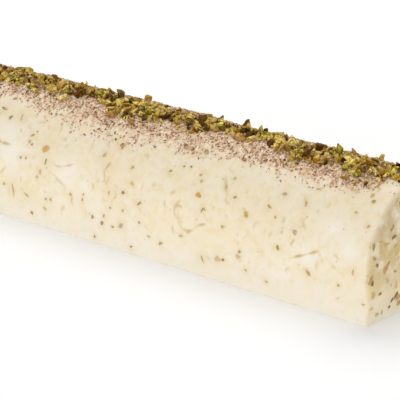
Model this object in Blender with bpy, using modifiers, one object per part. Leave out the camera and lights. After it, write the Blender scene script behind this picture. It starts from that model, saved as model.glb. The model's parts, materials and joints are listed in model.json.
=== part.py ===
"""Iced nougat log, turned out of a gutter mould, with chopped pistachios fused along its ridge.

Metres, +Z up. The log lies along X on its flat foot, with the origin in the middle of the foot.
Its front face looks along -Y and its trimmed end is at +X.
"""
import math
import random

import bmesh
import bpy
from mathutils import Euler, Matrix, Vector, noise

# Driving dimensions of the log
LENGTH = 0.300
FOOT_WIDTH = 0.080
HEIGHT = 0.062
DRAFT = math.radians(1.0)
FOOT_ROUND = 0.0012
RIDGE_ROUND = 0.0042
UNEVENNESS = 0.0008
UNEVEN_LENGTH = 0.030

# Grid cells: along the log, across its foot, and up each wall
CELLS_ALONG = 30
CELLS_ACROSS = 7
CELLS_UP = 5

# The strip of chopped pistachios. Its edges are measured round the skin from the ridge, the front one
# at stations along the log.
BACK_EDGE = 0.0042
FRONT_STATIONS = (
    (-0.150, 0.0110), (-0.112, 0.0120), (-0.096, 0.0102), (-0.074, 0.0088), (-0.061, 0.0058),
    (-0.048, 0.0062), (-0.038, 0.0098), (-0.024, 0.0138), (-0.008, 0.0142), (0.002, 0.0092),
    (0.016, 0.0112), (0.032, 0.0088), (0.050, 0.0088), (0.064, 0.0058), (0.074, 0.0118),
    (0.092, 0.0126), (0.106, 0.0084), (0.122, 0.0130), (0.130, 0.0134), (0.140, 0.0102),
    (0.150, 0.0090),
)
STRIP_RAGGED = 0.0050
RAGGED_LENGTH = 0.009
STRIP_END_GAP = 0.0030
PIECES = 340
LARGEST = 0.0050
SMALLEST = 0.0026
CROWDING = 0.75
MISSING_CORNERS = 2
BARE_LENGTH = 0.008
BARE_BELOW = -0.22
STANDING = 0.25
TRIES = 400
NUT_SEED = 41

# Pieces that stand out: place along the log, place round the skin from the ridge, size, lift
PROMINENT = (
    (-0.1152, 0.0055, 0.0044, 0.06),
    (-0.1128, -0.0068, 0.0041, 0.15),
    (-0.1058, 0.0035, 0.0044, 0.20),
    (-0.0988, -0.0085, 0.0035, 0.15),
    (-0.0892, 0.0060, 0.0036, 0.10),
    (-0.0868, -0.0065, 0.0056, 0.12),
    (-0.0755, -0.0030, 0.0056, 0.15),
    (-0.0690, 0.0085, 0.0034, 0.02),
    (-0.0660, 0.0015, 0.0046, 0.20),
    (-0.0638, -0.0132, 0.0039, 0.05),
    (-0.0588, -0.0072, 0.0056, 0.10),
    (-0.0482, 0.0050, 0.0039, 0.24),
    (-0.0482, 0.0125, 0.0040, 0.16),
    (-0.0408, -0.0080, 0.0039, 0.10),
    (-0.0328, -0.0058, 0.0041, 0.15),
    (-0.0290, -0.0165, 0.0044, 0.05),
    (-0.0290, 0.0052, 0.0032, 0.05),
    (-0.0285, 0.0110, 0.0036, 0.32),
    (-0.0132, -0.0182, 0.0039, 0.05),
    (-0.0102, -0.0075, 0.0048, 0.12),
    (0.0140, -0.0038, 0.0044, 0.20),
    (0.0195, -0.0022, 0.0051, 0.20),
    (0.0215, -0.0085, 0.0039, 0.10),
    (0.0295, -0.0065, 0.0041, 0.12),
    (0.0370, 0.0120, 0.0042, 0.14),
    (0.0445, 0.0010, 0.0046, 0.20),
    (0.0478, 0.0118, 0.0030, -0.10),
    (0.0492, -0.0098, 0.0054, 0.05),
    (0.0508, 0.0035, 0.0048, 0.20),
    (0.0520, -0.0045, 0.0054, 0.15),
    (0.0568, 0.0102, 0.0022, -0.12),
    (0.0700, -0.0048, 0.0056, 0.12),
    (0.0768, -0.0022, 0.0049, 0.15),
    (0.0878, -0.0082, 0.0054, 0.12),
    (0.0888, 0.0022, 0.0051, 0.22),
    (0.0970, -0.0118, 0.0035, 0.10),
    (0.1012, 0.0020, 0.0048, 0.32),
    (0.1130, -0.0032, 0.0056, 0.15),
    (0.1168, 0.0125, 0.0030, 0.42),
    (0.1190, -0.0178, 0.0037, 0.05),
    (0.1275, -0.0062, 0.0035, 0.10),
    (0.1340, -0.0130, 0.0037, 0.05),
    (0.1365, -0.0035, 0.0041, 0.15),
)

# The section is two walls that lean in by the draft, and a round vault that meets them without a corner
VAULT_RADIUS = (FOOT_WIDTH / 2 - HEIGHT * math.tan(DRAFT)) / (
    math.cos(DRAFT) - math.tan(DRAFT) + math.sin(DRAFT) * math.tan(DRAFT)
)
VAULT_AXIS = HEIGHT - VAULT_RADIUS
VAULT_ARC = VAULT_RADIUS * (math.pi / 2 - DRAFT)
WALL = (VAULT_AXIS + VAULT_RADIUS * math.sin(DRAFT)) / math.cos(DRAFT)
HALF_GIRTH = VAULT_ARC + WALL
TOP_HALF = HALF_GIRTH * CELLS_ACROSS / (CELLS_ACROSS + 2 * CELLS_UP)


def skin(along, round_ridge):
    """A point of the smooth skin, and the direction out. round_ridge is < 0 in front of the ridge."""
    side = -1 if round_ridge < 0 else 1
    down = abs(round_ridge)
    if down <= VAULT_ARC:
        turn = down / VAULT_RADIUS
        out = Vector((0, side * math.sin(turn), math.cos(turn)))
        return Vector((along, 0, VAULT_AXIS)) + VAULT_RADIUS * out, out
    out = Vector((0, side * math.cos(DRAFT), math.sin(DRAFT)))
    fall = Vector((0, side * math.sin(DRAFT), -math.cos(DRAFT)))
    return Vector((along, 0, VAULT_AXIS)) + VAULT_RADIUS * out + (down - VAULT_ARC) * fall, out


def section_point(across, up):
    """Spreads a square, -1 to 1 each way, over the log's section, and returns Y and Z."""
    a = (across + 1) / 2
    b = (up + 1) / 2
    side_reach = HALF_GIRTH + (TOP_HALF - HALF_GIRTH) * b
    foot = Vector((0, across * FOOT_WIDTH / 2, 0))
    top = skin(0, across * TOP_HALF)[0]
    front = skin(0, -side_reach)[0]
    back = skin(0, side_reach)[0]
    corner = FOOT_WIDTH / 2
    foot_corners = Vector((0, corner * across, 0))
    top_corners = skin(0, -TOP_HALF)[0] * (1 - a) + skin(0, TOP_HALF)[0] * a
    return (1 - b) * (foot - foot_corners) + b * (top - top_corners) + (1 - a) * front + a * back


def sunk(point, shift):
    """How far the surface lies inside the smooth form here, from 0 to UNEVENNESS."""
    wave = noise.noise(point / UNEVEN_LENGTH + Vector((shift, 0, 0)))
    return UNEVENNESS * min(1, max(0, 0.5 + wave))


def edge_round(height):
    """Radius of the broken edge at a height: small at the foot, and soft at the ridge."""
    return FOOT_ROUND + (RIDGE_ROUND - FOOT_ROUND) * max(0, height / HEIGHT) ** 1.5


def make_log(collection):
    """A subdivided cube, spread over the log's form and made slightly uneven, as a turned-out ice is."""
    shape = bmesh.new()
    bmesh.ops.create_cube(shape, size=2)
    for axis, cells in enumerate((CELLS_ALONG, CELLS_ACROSS, CELLS_UP)):
        lengthwise = [
            edge
            for edge in shape.edges
            if abs((edge.verts[1].co - edge.verts[0].co).normalized()[axis]) > 0.9
        ]
        bmesh.ops.subdivide_edges(shape, edges=lengthwise, cuts=cells - 1, use_grid_fill=True)
    for vertex in shape.verts:
        lengthwise, across, up = vertex.co
        on_end = abs(lengthwise) > 0.999
        on_skin = abs(across) > 0.999 or up > 0.999
        place = section_point(across, up)
        place.x = lengthwise * LENGTH / 2
        inward = Vector((0, 0, 0))
        if on_skin:
            # The foot stays at its full width, and the sinking grows over the first centimetre above it.
            rise = min(1, place.z / 0.010)
            middle = Vector((place.x, 0, min(place.z, VAULT_AXIS)))
            inward += (middle - place).normalized() * sunk(place, 0) * rise
        if on_end:
            inward.x -= math.copysign(sunk(place, 7), lengthwise)
        vertex.co = place + inward
    bmesh.ops.recalc_face_normals(shape, faces=shape.faces)
    roundness = shape.edges.layers.float.new("bevel_weight_edge")
    for edge in shape.edges:
        if edge.calc_face_angle() > math.radians(50):
            height = (edge.verts[0].co.z + edge.verts[1].co.z) / 2
            edge[roundness] = edge_round(height) / RIDGE_ROUND
    mesh = bpy.data.meshes.new("iced_nougat")
    shape.to_mesh(mesh)
    shape.free()
    log = bpy.data.objects.new("iced_nougat", mesh)
    collection.objects.link(log)
    rounding = log.modifiers.new("rounded_edges", "BEVEL")
    rounding.width = RIDGE_ROUND
    rounding.segments = 3
    rounding.limit_method = "WEIGHT"
    return log


def front_reach(along):
    """How far down the front the strip reaches at a station, before its edge is made ragged."""
    for (x0, reach0), (x1, reach1) in zip(FRONT_STATIONS, FRONT_STATIONS[1:]):
        if along <= x1:
            return reach0 + (reach1 - reach0) * (along - x0) / (x1 - x0)
    return FRONT_STATIONS[-1][1]


def strip_edge(along, side):
    """How far round from the ridge the strip's edge is: side is -1 for the front edge, 1 for the back."""
    reach = front_reach(along) if side < 0 else BACK_EDGE
    return side * (reach + STRIP_RAGGED * noise.noise(Vector((along / RAGGED_LENGTH, 3.7 * side, 0))))


def is_bare(along, round_ridge):
    """Whether the strip has a gap here that no piece fell into."""
    return noise.noise(Vector((along, round_ridge, 0)) / BARE_LENGTH) < BARE_BELOW


def spread_pieces(draw):
    """Places for the pieces, largest first: each is drawn anew until it lies clear of those before it."""
    places = list(PROMINENT)
    for number in range(PIECES - len(PROMINENT)):
        size = LARGEST + (SMALLEST - LARGEST) * (number / PIECES) ** 0.6
        for _ in range(TRIES):
            along = draw.uniform(-1, 1) * (LENGTH / 2 - STRIP_END_GAP)
            front = strip_edge(along, -1)
            round_ridge = front + (strip_edge(along, 1) - front) * draw.random()
            lift = draw.uniform(-0.17, 0.08)
            if not is_bare(along, round_ridge) and all(
                math.hypot(along - other[0], round_ridge - other[1]) > CROWDING * (size + other[2]) / 2
                for other in places
            ):
                places.append((along, round_ridge, size, lift))
                break
    return places


def chopped_piece(name, draw, size):
    """A chip of nut: the hull of most of a cube's corners, each moved at random. Its faces are flat cuts."""
    shape = bmesh.new()
    stretch = Vector((1, draw.uniform(0.55, 0.95), draw.uniform(0.45, 0.85)))
    for corner in sorted(draw.sample(range(8), 8 - MISSING_CORNERS)):
        signs = (corner & 1, corner >> 1 & 1, corner >> 2 & 1)
        spot = Vector([sign - 0.5 + draw.uniform(-0.28, 0.28) for sign in signs])
        shape.verts.new(spot * stretch * size)
    bmesh.ops.convex_hull(shape, input=shape.verts)
    loose = [vertex for vertex in shape.verts if not vertex.link_faces]
    bmesh.ops.delete(shape, geom=loose, context="VERTS")
    bmesh.ops.recalc_face_normals(shape, faces=shape.faces)
    mesh = bpy.data.meshes.new(name)
    shape.to_mesh(mesh)
    shape.free()
    return bpy.data.objects.new(name, mesh)


def piece_turn(draw, out, lift):
    """A piece lies any way round, but one that stands up has its long side along the direction out."""
    turn = Euler([draw.uniform(-math.pi, math.pi) for _ in range(3)])
    if lift < STANDING:
        return turn.to_matrix()
    return out.to_track_quat("X", "Z").to_matrix() @ Matrix.Rotation(turn.x, 3, "X")


def scatter_pistachios(collection):
    """Half-sunk chips over the strip, in a collection of their own."""
    draw = random.Random(NUT_SEED)
    for number, (along, round_ridge, size, lift) in enumerate(spread_pieces(draw)):
        chip = chopped_piece(f"chip_{number:03d}", draw, size)
        point, out = skin(along, round_ridge)
        chip.location = point + out * size * lift
        chip.rotation_euler = piece_turn(draw, out, lift).to_euler()
        collection.objects.link(chip)


def keep_outer_shell(mesh):
    """Keeps the largest connected shell, so that hollows sealed between chips are filled and scraps go."""
    shape = bmesh.new()
    shape.from_mesh(mesh)
    unseen = set(shape.verts)
    shells = []
    while unseen:
        shell = [unseen.pop()]
        for vertex in shell:
            for edge in vertex.link_edges:
                neighbour = edge.other_vert(vertex)
                if neighbour in unseen:
                    unseen.remove(neighbour)
                    shell.append(neighbour)
        shells.append(shell)
    shells.sort(key=len)
    for shell in shells[:-1]:
        bmesh.ops.delete(shape, geom=shell, context="VERTS")
    shape.to_mesh(mesh)
    shape.free()


def fuse(log, chips):
    """Joins the chips to the log by one union, and removes them."""
    union = log.modifiers.new("fused_pistachios", "BOOLEAN")
    union.operation = "UNION"
    union.operand_type = "COLLECTION"
    union.collection = chips
    union.solver = "EXACT"
    bpy.context.view_layer.update()
    evaluated = log.evaluated_get(bpy.context.evaluated_depsgraph_get())
    fused = bpy.data.meshes.new_from_object(evaluated)
    keep_outer_shell(fused)
    log.modifiers.clear()
    log.data = fused
    for chip in list(chips.objects):
        bpy.data.objects.remove(chip)
    bpy.data.collections.remove(chips)


def frozen_cream():
    """Ivory frozen nougat cream: matt, and slightly see-through under the skin."""
    material = bpy.data.materials.new("frozen_nougat_cream")
    material.use_nodes = True
    shader = material.node_tree.nodes["Principled BSDF"]
    shader.inputs["Base Color"].default_value = (0.84, 0.74, 0.55, 1)
    shader.inputs["Roughness"].default_value = 0.6
    shader.inputs["Metallic"].default_value = 0.0
    return material


def main():
    for old in list(bpy.data.objects):
        bpy.data.objects.remove(old)
    model = bpy.data.collections.new("iced_nougat_log")
    chips = bpy.data.collections.new("pistachio_chips")
    bpy.context.scene.collection.children.link(model)
    bpy.context.scene.collection.children.link(chips)
    log = make_log(model)
    scatter_pistachios(chips)
    fuse(log, chips)
    log.data.materials.clear()
    log.data.materials.append(frozen_cream())
    log.data.shade_smooth()
    log.data.set_sharp_from_angle(angle=math.radians(35))


main()
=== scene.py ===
# %% [markdown]
# # An iced nougat log
#
# Iced nougat is meringue and whipped cream, frozen with nuts and candied fruit in a long gutter mould
# and topped with chopped pistachio and cocoa crumbs. A faceted frame gives the form and the places of
# the largest chips. This lesson builds what the eye sees around it. Lengths are in metres unless a
# comment says millimetres.

# %% The frame
import json
import math
import random

import bmesh
import bpy
import numpy as np
from mathutils import Euler, Matrix, Vector, noise

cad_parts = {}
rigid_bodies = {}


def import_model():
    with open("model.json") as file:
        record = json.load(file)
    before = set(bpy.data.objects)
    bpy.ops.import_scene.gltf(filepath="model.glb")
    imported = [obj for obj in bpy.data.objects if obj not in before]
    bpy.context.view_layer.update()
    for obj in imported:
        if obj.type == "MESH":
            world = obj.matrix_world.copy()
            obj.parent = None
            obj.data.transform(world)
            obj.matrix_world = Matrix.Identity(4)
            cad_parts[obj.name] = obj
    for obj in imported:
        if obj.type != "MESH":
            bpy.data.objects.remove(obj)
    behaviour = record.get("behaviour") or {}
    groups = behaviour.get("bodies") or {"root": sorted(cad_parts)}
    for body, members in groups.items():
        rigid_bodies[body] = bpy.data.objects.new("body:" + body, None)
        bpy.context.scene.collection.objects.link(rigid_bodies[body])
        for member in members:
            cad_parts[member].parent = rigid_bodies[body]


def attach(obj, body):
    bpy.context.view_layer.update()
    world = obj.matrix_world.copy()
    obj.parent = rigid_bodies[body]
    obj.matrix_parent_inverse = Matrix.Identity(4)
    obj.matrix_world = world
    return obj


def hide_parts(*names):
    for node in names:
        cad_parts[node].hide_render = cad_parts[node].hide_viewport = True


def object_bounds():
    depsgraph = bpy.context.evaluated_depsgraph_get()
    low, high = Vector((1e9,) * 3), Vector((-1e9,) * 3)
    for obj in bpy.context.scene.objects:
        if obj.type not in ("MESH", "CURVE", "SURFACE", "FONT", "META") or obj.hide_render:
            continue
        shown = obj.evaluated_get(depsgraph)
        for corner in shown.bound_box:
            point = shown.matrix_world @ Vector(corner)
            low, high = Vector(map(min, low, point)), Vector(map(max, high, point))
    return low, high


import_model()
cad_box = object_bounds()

MM = 0.001
LENGTH = round(cad_box[1].x - cad_box[0].x, 3)
FOOT_WIDTH = round(cad_box[1].y - cad_box[0].y, 3)


def add_object(name, data):
    """Puts a mesh, a lamp or a camera into the scene as an object."""
    added = bpy.data.objects.new(name, data)
    bpy.context.scene.collection.objects.link(added)
    return added


def finish_piece(shape, name):
    """Turns a bmesh into an object in the scene."""
    mesh = bpy.data.meshes.new(name)
    shape.to_mesh(mesh)
    shape.free()
    return add_object(name, mesh)


print("log", LENGTH, "long and", FOOT_WIDTH, "wide")

# %% [markdown]
# ## The camera
#
# A long lens far away keeps the long edges of the log nearly parallel. It could be placed by eye, but a
# lens, two angles and one corner fix it exactly: the near bottom corner of the log has to fall on one
# known pixel of the picture.

# %% The camera
PICTURE = 400
SENSOR_MM = 36.0
LENS_MM = 201.03
AZIMUTH = math.radians(40.82)
ELEVATION = math.radians(19.24)
CORNER_PIXEL = (367.31, 328.78)
CORNER_DEPTH = 1.0045
FARTHEST_SEEN = 30

camera_data = bpy.data.cameras.new("camera")
camera_data.sensor_width = SENSOR_MM
camera_data.lens = LENS_MM
camera_data.clip_end = FARTHEST_SEEN
camera = add_object("camera", camera_data)
bpy.context.scene.camera = camera
camera.rotation_euler = (math.pi / 2 - ELEVATION, 0, AZIMUTH)
pixel = CORNER_DEPTH * SENSOR_MM / LENS_MM / PICTURE
to_corner = Vector((
    (CORNER_PIXEL[0] - PICTURE / 2) * pixel,
    (PICTURE / 2 - CORNER_PIXEL[1]) * pixel,
    -CORNER_DEPTH,
))
near_corner = Vector((LENGTH / 2, -FOOT_WIDTH / 2, 0))
camera.location = near_corner - camera.rotation_euler.to_matrix() @ to_corner
print("one pixel is", round(pixel / MM, 2), "mm at the corner")

# %% [markdown]
# ## The section of the log
#
# The mould is a gutter: two walls that lean in by a degree, so that the log slips out, and a round
# vault. Four sizes fix the section. A place on the skin is named by how far it is along the log and how
# far round it is from the ridge, with the front face below zero. Places go in as whole arrays, because
# thousands of crumbs ask for theirs.

# %% The section
HEIGHT = 62 * MM
DRAFT = math.radians(1.0)
VAULT_RADIUS = (FOOT_WIDTH / 2 - HEIGHT * math.tan(DRAFT)) / (
    math.cos(DRAFT) - math.tan(DRAFT) + math.sin(DRAFT) * math.tan(DRAFT)
)
VAULT_AXIS = HEIGHT - VAULT_RADIUS
VAULT_ARC = VAULT_RADIUS * (math.pi / 2 - DRAFT)
WALL = (VAULT_AXIS + VAULT_RADIUS * math.sin(DRAFT)) / math.cos(DRAFT)
HALF_GIRTH = VAULT_ARC + WALL


def smooth_skin(along, around):
    """Points of the smooth skin, and the directions out of it."""
    along, around = np.broadcast_arrays(np.asarray(along, dtype=float), around)
    side = np.where(around < 0, -1.0, 1.0)
    down = np.abs(around)
    turn = np.minimum(down, VAULT_ARC) / VAULT_RADIUS
    out = np.stack([np.zeros_like(turn), side * np.sin(turn), np.cos(turn)], axis=-1)
    fall = np.stack([np.zeros_like(turn), side * math.sin(DRAFT), np.full_like(turn, -math.cos(DRAFT))], axis=-1)
    centre = np.stack([along, np.zeros_like(turn), np.full_like(turn, VAULT_AXIS)], axis=-1)
    return centre + VAULT_RADIUS * out + np.maximum(0, down - VAULT_ARC)[..., None] * fall, out


def skin_point(along, around):
    """One point of the smooth skin and the direction out of it."""
    return (Vector(found) for found in smooth_skin(along, around))


def unroll(points):
    """Place along and round the ridge of points near the skin."""
    x, y, z = np.moveaxis(points, -1, 0)
    turn = np.arctan2(np.abs(y), np.maximum(z - VAULT_AXIS, 1e-9))
    down = np.where(z > VAULT_AXIS, VAULT_RADIUS * turn, VAULT_RADIUS * math.pi / 2 + VAULT_AXIS - z)
    return x, np.sign(y) * down


print("vault radius", round(VAULT_RADIUS / MM, 1), "mm, girth", round(2 * HALF_GIRTH / MM, 1), "mm")

# %% [markdown]
# ## Unevenness, dents and creases
#
# The mould leaves broad waves, trapped air leaves pits, and the knife that frees the log drags creases
# into the soft skin. These could be painted as bump, but real relief catches the light from every side
# and stays in the mesh. Each dent is a formula of the distance to a point or a bent line. The
# largest are put where they are seen, and short shallow ones go everywhere.

# %% Creases and pits
UNEVENNESS = 0.8 * MM
UNEVEN_LENGTH = 30 * MM
LUMP_DEPTH = 0.16 * MM
LUMP_LENGTH = 7 * MM
CREASE_DEPTH = 0.8
CREASE_REACH = 26
# The marks are known from one station on and below the dusting. Random ones keep clear of the ridge. All in mm.
SEEN_FROM = -84
SEEN_BELOW = -24
CREASE_CLEARANCE = 28
BIT_CLEARANCE = 22
FROST_CLEARANCE = 30
RELIEF_SEED = 5

# A crease is the places that it runs through, along and round, then its half width and depth. All in mm.
SEEN_CREASES = (
    (((56.2, -31.8), (58.4, -34.7), (59.7, -37.4), (61.6, -40.3)), 0.85, 0.60),
    (((103.0, -31.2), (104.8, -33.2), (106.5, -35.9)), 0.60, 0.45),
    (((34.8, -50.6), (32.6, -53.6), (32.8, -56.6), (35.6, -59.8), (38.0, -63.2),
      (41.6, -64.2), (45.2, -62.4)), 0.72, 0.60),
    (((45.0, -62.5), (48.6, -59.4), (51.4, -58.2), (54.0, -57.8)), 0.50, 0.35),
    (((32.8, -54.3), (34.2, -52.8), (36.2, -52.4), (37.6, -53.3)), 0.45, 0.30),
    (((34.9, -54.4), (35.4, -57.7), (37.7, -59.9), (38.6, -61.4)), 0.40, 0.22),
    (((26.2, -51.9), (25.9, -53.4), (26.5, -54.7)), 0.45, 0.30),
    (((103.5, -62.9), (108.3, -60.3), (114.4, -57.8), (119.5, -55.1), (121.4, -56.8)), 0.50, 0.45),
    (((36.3, -26.6), (40.4, -25.8), (44.6, -24.4)), 0.40, 0.50),
    (((-48.7, -50.6), (-44.0, -50.2), (-40.4, -49.2), (-35.1, -47.0)), 0.50, 0.30),
    (((-52.3, -53.8), (-48.2, -55.2), (-44.1, -57.7), (-40.6, -59.3)), 0.60, 0.32),
    (((-13.8, -42.8), (-15.0, -46.1), (-13.3, -51.0), (-18.2, -52.9)), 0.50, 0.22),
    (((-80.2, -28.8), (-81.0, -31.1), (-78.7, -33.4)), 0.55, 0.30),
    (((76.4, -59.2), (79.0, -56.2)), 0.50, 0.20),
)
# A pit is its place along and round, its radius and its depth. All in mm.
SEEN_PITS = (
    (35.4, -23.9, 1.9, 1.0), (41.0, -23.8, 3.2, 0.35),
    (124.4, -44.0, 5.0, 0.22), (136.8, -51.4, 6.0, 0.25), (-74.0, -50.0, 7.0, 0.22), (114.9, -60.0, 4.0, 0.35),
    (50.4, -55.0, 6.0, 0.20), (35.5, -57.0, 3.5, 0.25), (148.6, -66.0, 4.0, 0.60), (99.0, -71.5, 5.0, 0.20),
)


def is_seen(along, around):
    """Whether a place in mm is on the part of the front face whose marks are known."""
    return around < SEEN_BELOW and along > SEEN_FROM


def random_place(draw, length_share, girth_share):
    """A random place in mm, up to these shares of the length and of half the girth from the middle."""
    along = draw.uniform(-length_share, length_share) * LENGTH / MM
    return along, draw.uniform(-girth_share, girth_share) * HALF_GIRTH / MM


def unseen_place(draw, length_share, girth_share, clearance, everywhere=False):
    """A random place clear of the ridge, and of the part whose marks are known unless told everywhere."""
    while True:
        along, around = random_place(draw, length_share, girth_share)
        if abs(around) > clearance and (everywhere or not is_seen(along, around)):
            return along, around


def random_creases(draw, count, longest, widest, deepest, everywhere=False):
    """Short bent creases."""
    creases = []
    for _ in range(count):
        along, around = unseen_place(draw, 0.46, 0.9, CREASE_CLEARANCE, everywhere)
        heading = draw.uniform(0, math.pi)
        bend = draw.uniform(-0.9, 0.9)
        step = draw.uniform(0.4, 1) * longest
        places = [(along, around)]
        for _ in range(3):
            along += step * math.cos(heading)
            around += step * math.sin(heading)
            heading += bend
            places.append((along, around))
        creases.append((tuple(places), draw.uniform(0.55, 1) * widest, draw.uniform(0.4, 1) * deepest))
    return creases


relief_draw = random.Random(RELIEF_SEED)
creases = list(SEEN_CREASES) + random_creases(relief_draw, 30, longest=4.0, widest=0.80, deepest=0.50)
creases += random_creases(relief_draw, 170, longest=1.5, widest=0.75, deepest=0.26, everywhere=True)
pits = list(SEEN_PITS) + [
    (*random_place(relief_draw, 0.49, 0.97), relief_draw.uniform(0.8, 1.8), relief_draw.uniform(0.08, 0.35))
    for _ in range(240)
]
print(len(creases), "creases and", len(pits), "pits")

# %% How deep the relief is at a place


def line_gap(along, around, places):
    """How far places, in mm, are from a bent line."""
    nearest = np.full(along.shape, np.inf)
    for (x0, y0), (x1, y1) in zip(places, places[1:]):
        run = (x1 - x0) ** 2 + (y1 - y0) ** 2
        share = np.clip(((along - x0) * (x1 - x0) + (around - y0) * (y1 - y0)) / run, 0, 1)
        gap = np.hypot(along - x0 - share * (x1 - x0), around - y0 - share * (y1 - y0))
        nearest = np.minimum(nearest, gap)
    return nearest


def crease_shown(along, around, places, half_width):
    """How much a crease shows at places, from 0 to 1. It tapers towards both its ends."""
    shown = np.zeros(along.shape)
    start, end = places[0], places[-1]
    near = np.hypot(along - start[0], around - start[1]) < CREASE_REACH
    along, around = along[near], around[near]
    run = max(math.dist(start, end), 1)
    tip = np.minimum(*(np.hypot(along - x, around - y) for x, y in (start, end)))
    taper = np.clip(0.35 + 2.6 * tip / run, 0, 1)
    broken = 0.72 + 0.38 * np.sin(0.55 * along + 0.45 * around)
    wide = half_width * (0.5 + 0.5 * taper) * (0.7 + 0.6 * broken)
    shown[near] = taper * broken * np.exp(-((line_gap(along, around, places) / wide) ** 2))
    return shown


def dents(along, around, creases, pits):
    """Depth of all creases and pits at places in mm."""
    depth = np.zeros(along.shape)
    for places, half_width, deep in creases:
        depth += CREASE_DEPTH * deep * crease_shown(along, around, places, half_width)
    for x, y, radius, deep in pits:
        depth += deep * np.exp(-((np.hypot(along - x, around - y) / radius) ** 2) * 1.5)
    return depth * MM


def wave(points, length, shift):
    """Smooth noise from about -1 to 1 at each point, with bumps about as far apart as length."""
    offset = Vector((shift, 0, 0))
    values = [noise.noise(Vector(point) / length + offset) for point in points.reshape(-1, 3)]
    return np.array(values).reshape(points.shape[:-1])


def sunk(points, shift):
    """The broad unevenness of the solid, always inward, so that the log stays inside its box."""
    return UNEVENNESS * np.clip(0.5 + wave(points, UNEVEN_LENGTH, shift), 0, 1)


# %% [markdown]
# ## The rounded end edges
#
# Where the ends were trimmed the skin turns over softly, about 5 mm at the ridge and 1 mm at the foot,
# and is worn back in places. A bevel would be even all round. Here the base form has a quarter arc of
# its own radius at each height, and relief is a function of the place alone, so that the body, the bits
# and the crumbs all agree on where the skin is.

# %% Base form and relief
FOOT_ROUND = 1.2 * MM
TOP_ROUND = 4.6 * MM
TORN_LENGTH = 2.6 * MM
EDGE_WEAR = 2.2 * MM
EDGE_WEAR_REACH = 4.5 * MM
EDGE_WEAR_LENGTH = 7 * MM
LOW_WEAR_HEIGHT = 22 * MM
# Relief fades out towards the flat foot: heights at which lumps, dents and wear are whole.
LUMP_RISE = 10 * MM
DENT_RISE = 2 * MM
WEAR_RISE = 3 * MM


def end_round(z):
    """Radius of the end edge at a height."""
    return FOOT_ROUND + (TOP_ROUND - FOOT_ROUND) * np.clip(z / HEIGHT, 0, 1) ** 0.8


def end_relief(points, side):
    """How deep an end face lies at each point: broad waves and the drag of the knife over nuts and cream."""
    torn = 1 + 4.5 * wave(points, LUMP_LENGTH, 20 * side) + 2.6 * wave(points, TORN_LENGTH, 31 * side)
    return sunk(points, 7) + LUMP_DEPTH * np.maximum(0, torn)


def relieved(points, outs, along, around):
    """Points of the base form, moved to where the uneven skin really is."""
    z = points[..., 2]
    rise = np.clip(z / LUMP_RISE, 0, 1)
    depth = (sunk(points, 0) + LUMP_DEPTH * (1 + wave(points, LUMP_LENGTH, 3))) * rise
    depth += dents(along / MM, around / MM, creases, pits) * np.clip(z / DENT_RISE, 0, 1)
    moved = points - outs * depth[..., None]
    moved[..., 2] = np.maximum(0, moved[..., 2])
    radius = end_round(z)
    past = np.clip((np.abs(points[..., 0]) - LENGTH / 2 + radius) / radius, 0, 1)
    near_end = np.clip((np.abs(points[..., 0]) - LENGTH / 2 + EDGE_WEAR_REACH) / EDGE_WEAR_REACH, 0, 1) ** 2
    low = 0.45 * np.clip(1 - z / LOW_WEAR_HEIGHT, 0, 1)
    worn = EDGE_WEAR * np.clip(0.1 + low + 1.5 * wave(points, EDGE_WEAR_LENGTH, 11), 0, 1) * near_end
    moved -= outs * (worn * np.clip(z / WEAR_RISE, 0, 1))[..., None]
    for side in (-1, 1):
        here = points[..., 0] * side > LENGTH / 2 - TOP_ROUND
        moved[here, 0] -= side * end_relief(points[here], side) * past[here]
    return moved


def skin_places(along, around):
    """Points of the finished skin at arrays of places, and the directions out."""
    points, outs = smooth_skin(along, around)
    radius = end_round(points[..., 2])
    past = np.clip(np.abs(points[..., 0]) - LENGTH / 2 + radius, 0, radius)
    inset = radius - np.sqrt(radius ** 2 - past ** 2)
    return relieved(points - outs * inset[..., None], outs, *np.broadcast_arrays(along, around)), outs


print("ridge in the middle at", round(skin_places(np.array([0.0]), 0.0)[0][0, 2] / MM, 1), "mm")

# %% [markdown]
# ## The body of the log
#
# The body is one closed skin. A cube could be subdivided and shaped, but a grid of rows round the
# section and stations along the log gives even quads of about a millimetre. Along the creases the
# quads are cut in three each way. The ends are filled by blending their four sides, and the foot is
# one flat face.

# %% Rows and stations of the grid
CELLS_ALONG = 340
CELLS_ACROSS = 76
CELLS_UP = 58
FOOT_CELLS = 3
END_CELLS = 6
ROWS = CELLS_ACROSS + 2 * CELLS_UP


def row_places():
    """Each row's place round the ridge, its Y and Z, and its direction out, from the front foot to the back."""
    front_foot = []
    for step in range(FOOT_CELLS):
        turn = (step / FOOT_CELLS) * math.pi / 2
        out_y, out_z = -math.sin(turn), -math.cos(turn)
        y = -(FOOT_WIDTH / 2 - FOOT_ROUND) + FOOT_ROUND * out_y
        front_foot.append((-HALF_GIRTH + FOOT_ROUND * step / FOOT_CELLS, y, FOOT_ROUND * (1 + out_z), out_y, out_z))
    straight = np.linspace(-HALF_GIRTH + FOOT_ROUND, HALF_GIRTH - FOOT_ROUND, ROWS + 1 - 2 * FOOT_CELLS)
    points, outs = smooth_skin(0, straight)
    skin = np.column_stack([straight, points[:, 1:], outs[:, 1:]])
    back_foot = [(-place, -y, z, -out_y, out_z) for place, y, z, out_y, out_z in reversed(front_foot)]
    return np.vstack([front_foot, skin, back_foot])


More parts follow.
